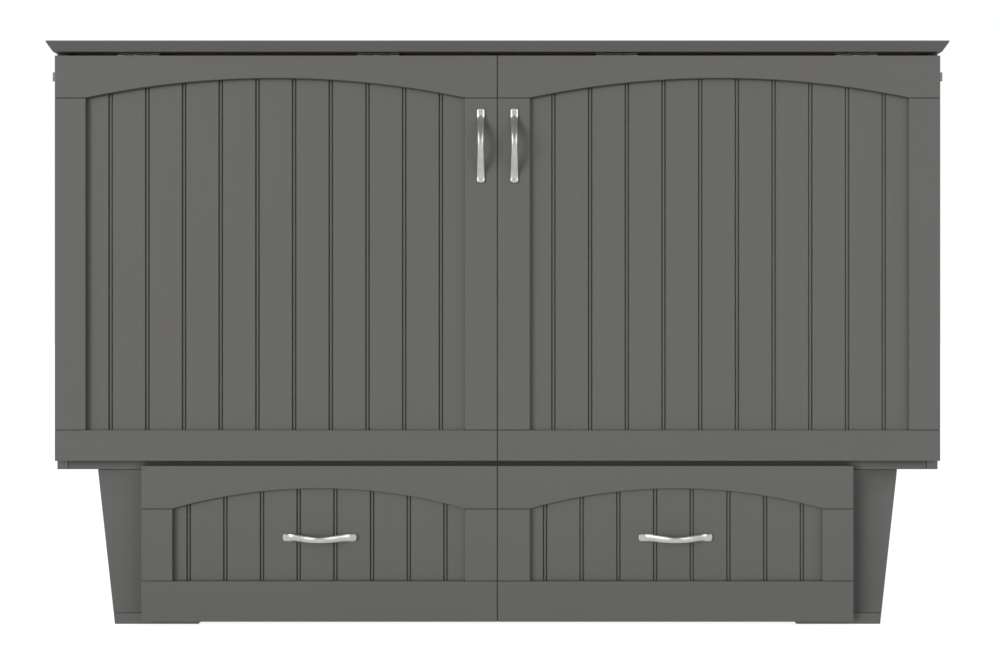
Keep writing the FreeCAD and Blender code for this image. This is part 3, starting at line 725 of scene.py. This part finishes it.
rail_low, rail_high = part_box("left_drawer_bottom_rail")
plate_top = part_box("drawer_subfront")[0].z
plate_shape = bmesh.new()
add_block(plate_shape, Vector((-PLATE_HALF, rail_high.y, rail_low.z + PLATE_EDGE)),
          Vector((PLATE_HALF, rail_high.y + PLATE_THICK, plate_top)), PLATE_EDGE)
joining_plate = piece_from(plate_shape, "front_joining_plate", shaded_paint)
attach(joining_plate, body_of["drawer_subfront"])
print("joining plate", [round(c, 4) for c in joining_plate.dimensions])

for front in ("door", "drawer"):
    foot_low, foot_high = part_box(f"left_{front}_bottom_rail")
    spline_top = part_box(f"left_{front}_top_rail")[1].z - SPLINE_EDGE
    spline_shape = bmesh.new()
    add_block(spline_shape, Vector((-SPLINE_HALF, foot_low.y + SPLINE_SINK, foot_low.z)),
              Vector((SPLINE_HALF, foot_high.y, spline_top)), SPLINE_EDGE)
    spline = piece_from(spline_shape, f"{front}_seam_spline", paint["z"])
    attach(spline, body_of[f"left_{front}_top_rail"])
    print(spline.name, [round(c, 4) for c in spline.dimensions])

# %% [markdown]
# ## Screw heads
# A real bed of this kind is screwed together: every hinge leaf, slat and bracket shows its countersunk
# heads once the fronts are down. One head starts as a small disc that is extruded upwards and widened to
# the cone, then inset to a rim. Every third point of the inner ring is drawn in, which leaves a cross, and
# the cross is extruded downwards. A picture of a screw would look flat from the side, and a few dozen faces
# are enough for a head. The heads of a group are copies in one mesh that rides on one body.

# %% One screw head
HEAD_SIDES = 12
HEAD_RISE = 0.25 * MM
HEAD_DEPTH = 1.6 * MM
NECK_SHARE = 0.55
RIM_SHARE = 0.38
CROSS_PINCH = 0.4
CROSS_TAPER = 0.6
CROSS_DEPTH = 1.0 * MM
FACING = {"up": (0, 0, 1), "down": (0, 0, -1), "back": (0, 1, 0), "left": (-1, 0, 0), "right": (1, 0, 0)}

screw_zinc = brushed_metal("screw_zinc", SHADED_LEAF_AND_SCREW_ZINC, "x", (0.3, 0.42), scratch_scale=1800.0)


def new_face(made):
    return next(part for part in made["geom"] if isinstance(part, bmesh.types.BMFace))


def points_of(geometry):
    return [part for part in geometry if isinstance(part, bmesh.types.BMVert)]


def screw_head(shape, radius):
    """A countersunk head that looks up from the origin, its rim just proud of the surface."""
    ring = bmesh.ops.create_circle(shape, cap_ends=True, segments=HEAD_SIDES,
                                   radius=radius * NECK_SHARE)["verts"]
    base = ring[0].link_faces[0]
    top = new_face(bmesh.ops.extrude_face_region(shape, geom=[base], use_keep_orig=True))
    bmesh.ops.translate(shape, vec=(0, 0, -HEAD_DEPTH), verts=base.verts)
    bmesh.ops.translate(shape, vec=(0, 0, HEAD_RISE), verts=top.verts)
    bmesh.ops.scale(shape, vec=(1 / NECK_SHARE, 1 / NECK_SHARE, 1), verts=top.verts)
    bmesh.ops.inset_individual(shape, faces=[top], thickness=radius * RIM_SHARE)
    for corner in list(top.verts)[1::3]:
        corner.co.x *= CROSS_PINCH
        corner.co.y *= CROSS_PINCH
    floor = new_face(bmesh.ops.extrude_face_region(shape, geom=[top]))
    bmesh.ops.translate(shape, vec=(0, 0, -CROSS_DEPTH), verts=floor.verts)
    bmesh.ops.scale(shape, vec=(CROSS_TAPER, CROSS_TAPER, 1), verts=floor.verts)


def screw_group(name, body, places, facing, radius):
    """Equal heads on one body, all looking the same way."""
    shape = bmesh.new()
    screw_head(shape, radius)
    turn = Vector((0, 0, 1)).rotation_difference(Vector(FACING[facing])).to_matrix()
    bmesh.ops.rotate(shape, cent=ORIGIN, matrix=turn, verts=shape.verts)
    pattern = list(shape.verts) + list(shape.edges) + list(shape.faces)
    for place in places[1:]:
        copy = bmesh.ops.duplicate(shape, geom=pattern)["geom"]
        bmesh.ops.translate(shape, vec=place, verts=points_of(copy))
    bmesh.ops.translate(shape, vec=places[0], verts=points_of(pattern))
    bmesh.ops.recalc_face_normals(shape, faces=shape.faces)
    piece = piece_from(shape, name, screw_zinc)
    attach(piece, body)
    print(name, len(places), "heads")


print("screw heads can face", sorted(FACING))

# %% [markdown]
# ## Hinge screws
# Places are read from the boxes of the pieces that the screws hold, or repeat the spacing of the
# construction, because crossed rows and columns stay even where places picked by hand would not. An upper
# hinge has three screws in each leaf, a lower one two in the door's plate and four in the case's leaf.

# %% Hinge screws
FINE_HEAD = 2.6 * MM
LEAF_HEAD = 3.2 * MM
LEAF_THICK = 1.5 * MM
HINGE_X = (0.2216, 0.6657)
LEAF_STEPS = (-0.026, 0.0, 0.026)
DOOR_LEAF_Y = -0.301
LID_LEAF_Y = -0.2895
CASE_LEAF_Y = (-0.28, -0.258)
DOOR_PLATE_Z = 0.3175


def both_sides(distances):
    """Places on the left and on the right at these distances from the middle."""
    return [side * x for side in (-1, 1) for x in distances]


def crossed(xs, ys, zs):
    """Every place where a column, a row and a level meet."""
    return [(x, y, z) for x in xs for y in ys for z in zs]


three_each = [x + step for x in both_sides(HINGE_X) for step in LEAF_STEPS]
two_each = [x + step for x in both_sides(HINGE_X) for step in LEAF_STEPS[::2]]
door_leaf_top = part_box("upper_hinge_door_leaves")[0].z + LEAF_THICK
lid_leaf_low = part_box("upper_hinge_lid_leaves")[1].z - LEAF_THICK
plate_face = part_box("lower_hinge_door_leaves")[1].y
case_leaf_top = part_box("lower_hinge_case_leaves")[0].z + LEAF_THICK
screw_group("door_leaf_screws", "front", crossed(three_each, [DOOR_LEAF_Y], [door_leaf_top]), "up", FINE_HEAD)
screw_group("lid_leaf_screws", "lid", crossed(three_each, [LID_LEAF_Y], [lid_leaf_low]), "down", LEAF_HEAD)
screw_group("door_plate_screws", "front", crossed(two_each, [plate_face], [DOOR_PLATE_Z]), "back", LEAF_HEAD)
screw_group("case_leaf_screws", "case", crossed(two_each, CASE_LEAF_Y, [case_leaf_top]), "up", LEAF_HEAD)

# %% [markdown]
# ## Slat screws
# A slat has one screw where it crosses a bearer or a runner, and two, one near each edge, where it crosses
# a stile, since a stile is all that holds it flat. Columns give the places along X, and rows go from slat to
# slat. The foot deck has two more rows, for the rails of the lid's frame.

# %% Slat screws
SLAT_HEAD = 4 * MM
SLAT_SPLIT = 0.024
HEAD_COLUMNS = (-0.77, -0.4366, 0.0, 0.4366, 0.77)
HEAD_ROWS = (-0.237, -0.1048, 0.0275, 0.1598, 0.292)
MID_COLUMNS = (-0.778, -0.0305, 0.0305, 0.778)
MID_ROWS = (0.3647, 0.4918, 0.6189, 0.746, 0.8731, 1.0002)
FOOT_COLUMNS = (-0.5239, -0.1746, 0.1746, 0.5239)
FOOT_ROWS = (-0.173, -0.044, 0.085, 0.214)
RAIL_ROWS = (-0.256, 0.297)

slat_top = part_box("head_slats")[1].z
slat_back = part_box("mid_slats")[1].y
slat_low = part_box("foot_slats")[0].z
split_rows = [z + split for z in MID_ROWS for split in (-SLAT_SPLIT, SLAT_SPLIT)]
screw_group("head_slat_screws", "case", crossed(HEAD_COLUMNS, HEAD_ROWS, [slat_top]), "up", SLAT_HEAD)
screw_group("mid_slat_screws", "front", crossed(MID_COLUMNS, [slat_back], split_rows), "back", SLAT_HEAD)
foot_places = crossed(FOOT_COLUMNS, FOOT_ROWS + RAIL_ROWS, [slat_low])
screw_group("foot_slat_screws", "lid", foot_places, "down", SLAT_HEAD)

# %% [markdown]
# ## Drawer and pull screws
# The drawer fronts are screwed on from inside the box, the pulls through them or through the doors, the
# roller brackets from below, and the corners of the box from its sides.

# %% Drawer and pull screws
FRONT_HEAD = 3.5 * MM
BOARD_HEAD = 3 * MM
FRONT_X = (0.032, 0.18, 0.49)
FRONT_Z = (0.073, 0.25)
DRAWER_PULL_X = (0.2818, 0.3778)
DOOR_PULL_X = 0.0305
DOOR_PULL_Z = 0.9367
BRACKET_THICK = 2.5 * MM
BRACKET_X = 0.4777
BRACKET_Y = (-0.221, 0.229)
BRACKET_STEP = 0.0175
CORNER_Y = 0.295
CORNER_Z = (0.07, 0.15, 0.23)

front_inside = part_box("drawer_subfront")[1].y
pull_low, pull_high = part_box("drawer_handle_left")
front_places = crossed(both_sides(FRONT_X), [front_inside], FRONT_Z)
front_places += crossed(both_sides(DRAWER_PULL_X), [front_inside], [(pull_low.z + pull_high.z) / 2])
screw_group("drawer_front_screws", "drawer", front_places, "back", FRONT_HEAD)
bracket_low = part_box("roller_brackets")[1].z - BRACKET_THICK
bracket_rows = [y + step for y in BRACKET_Y for step in (-BRACKET_STEP, BRACKET_STEP)]
bracket_places = crossed(both_sides([BRACKET_X]), bracket_rows, [bracket_low])
screw_group("bracket_screws", "drawer", bracket_places, "down", FINE_HEAD)
for side, facing in ((-1, "left"), (1, "right")):
    box_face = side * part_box("drawer_side_right")[1].x
    corner_places = crossed([box_face], [CORNER_Y], CORNER_Z)
    screw_group("drawer_corner_screws_" + facing, "drawer", corner_places, facing, BOARD_HEAD)
door_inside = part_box("left_door_top_rail")[1].y
pull_places = crossed(both_sides([DOOR_PULL_X]), [door_inside], [DOOR_PULL_Z])
screw_group("door_pull_screws", "front", pull_places, "back", FRONT_HEAD)

# %% [markdown]
# ## Back screws
# The back board is screwed on all round its edge, its upper and lower rows half a step apart, and the
# backs of the legs are screwed on at both edges.

# %% Back screws
BACK_HALF = 0.785
BACK_STEPS = 8
BACK_FOOT_Z = 0.313
BACK_HEAD_Z = 1.003
BACK_EDGE_X = 0.793
BACK_EDGE_Z = (0.46, 0.6, 0.74, 0.88)
LEG_BACK_X = (0.5637, 0.7)
LEG_BACK_Z = (0.06, 0.155, 0.25)

back_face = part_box("case_back")[1].y
foot_row = [step / BACK_STEPS * BACK_HALF for step in range(-BACK_STEPS, BACK_STEPS + 1, 2)]
head_row = [step / BACK_STEPS * BACK_HALF for step in range(1 - BACK_STEPS, BACK_STEPS, 2)]
back_places = crossed(foot_row, [back_face], [BACK_FOOT_Z])
back_places += crossed(head_row, [back_face], [BACK_HEAD_Z])
back_places += crossed(both_sides([BACK_EDGE_X]), [back_face], BACK_EDGE_Z)
back_places += crossed(both_sides(LEG_BACK_X), [back_face], LEG_BACK_Z)
screw_group("back_screws", "case", back_places, "back", BOARD_HEAD)

# %% [markdown]
# ## Paper-white floor
# The photo has no floor line and no cast shadow on the ground: everything round the cabinet is paper
# white. A pale floor that also glows a little gives that. It is hidden from diffuse and shadow rays, so it
# doesn't light the boards, and what light they get from below comes from the sky instead, where it can be
# set by itself. Gloss still sees the floor, so the lower slopes of the pulls are bright.

# %% Floor
FLOOR_SIZE = 160.0
FLOOR_GLOW = 0.9
FLOOR_TONES = (0.3, 0.34)
FLOOR_ROUGH = 0.9


def pale_floor():
    shape = bmesh.new()
    bmesh.ops.create_grid(shape, x_segments=2, y_segments=2, size=FLOOR_SIZE / 2)
    material, tree, shader = new_material("paper_white")
    paper = stretched_noise(tree, scale=4.0, detail=2.0)
    tone = two_tones(tree, paper, grey(FLOOR_TONES[0]), grey(FLOOR_TONES[1]))
    tree.links.new(tone, shader.inputs["Base Color"])
    shader.inputs["Roughness"].default_value = FLOOR_ROUGH
    shader.inputs["Emission Color"].default_value = (*WHITE, 1.0)
    shader.inputs["Emission Strength"].default_value = FLOOR_GLOW
    floor = piece_from(shape, "floor", material)
    floor.visible_diffuse = False
    floor.visible_shadow = False
    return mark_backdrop(floor)


pale_floor()
print("floor", FLOOR_SIZE, "m wide")

# %% [markdown]
# ## Lamps
# One broad key from the left, at the height of the doors, throws short soft shadows to the right of every
# stile, bead and pull. Gloss doesn't see it, because its mirror image would burn out the pulls. Two weaker
# lamps, higher up on the left and the right, are seen by gloss alone and put the glints on the pulls.

# %% Lamps
KEY_TURN = 44.0
KEY_RISE = 4.0
KEY_SPREAD = 27.0
KEY_STRENGTH = 2.25
GLINT_RISE = 26.0
GLINT_SPREAD = 44.0
GLINTS = {"glint_left": (48.0, 1.3), "glint_right": (-45.0, 0.95)}


def broad_lamp(name, turn, rise, spread, strength, glossy):
    """A distant lamp, turned this many degrees to the left of the camera's side and raised this many."""
    data = bpy.data.lights.new(name, "SUN")
    data.angle = math.radians(spread)
    data.energy = strength
    lamp = bpy.data.objects.new(name, data)
    turn, rise = math.radians(turn), math.radians(rise)
    source = Vector((-math.sin(turn) * math.cos(rise), -math.cos(turn) * math.cos(rise), math.sin(rise)))
    lamp.rotation_euler = (-source).to_track_quat("-Z", "Y").to_euler()
    lamp.visible_glossy = glossy
    lamp.visible_diffuse = not glossy
    bpy.context.scene.collection.objects.link(lamp)
    print(name, strength)


broad_lamp("key_left", KEY_TURN, KEY_RISE, KEY_SPREAD, KEY_STRENGTH, glossy=False)
for name, (turn, strength) in GLINTS.items():
    broad_lamp(name, turn, GLINT_RISE, GLINT_SPREAD, strength, glossy=True)

# %% [markdown]
# ## Sky
# The sky is white round the horizon, dimmer overhead and dimmer still from below. That is what the pulls
# mirror, so their upper slopes are dark, and it keeps the undersides of the lid and the case in shade. A
# ramp over the height of a direction makes it, from (sine of the height, glow) stops.

# %% Sky
SKY = [(-0.22, 0.27), (-0.03, 1.0), (0.4, 1.0), (0.62, 0.36)]


def studio_sky():
    world = bpy.data.worlds.new("white_studio")
    world.use_nodes = True
    tree = world.node_tree
    place = tree.nodes.new("ShaderNodeTexCoord")
    parts = tree.nodes.new("ShaderNodeSeparateXYZ")
    tree.links.new(place.outputs["Generated"], parts.inputs["Vector"])
    height = tree.nodes.new("ShaderNodeMapRange")
    height.inputs["From Min"].default_value = -1.0
    tree.links.new(parts.outputs["Z"], height.inputs["Value"])
    sky = ramp(tree, height.outputs["Result"], [((1 + sine) / 2, grey(glow)) for sine, glow in SKY])
    tree.links.new(sky, tree.nodes["Background"].inputs["Color"])
    bpy.context.scene.world = world


studio_sky()
print("sky with", len(SKY), "stops")
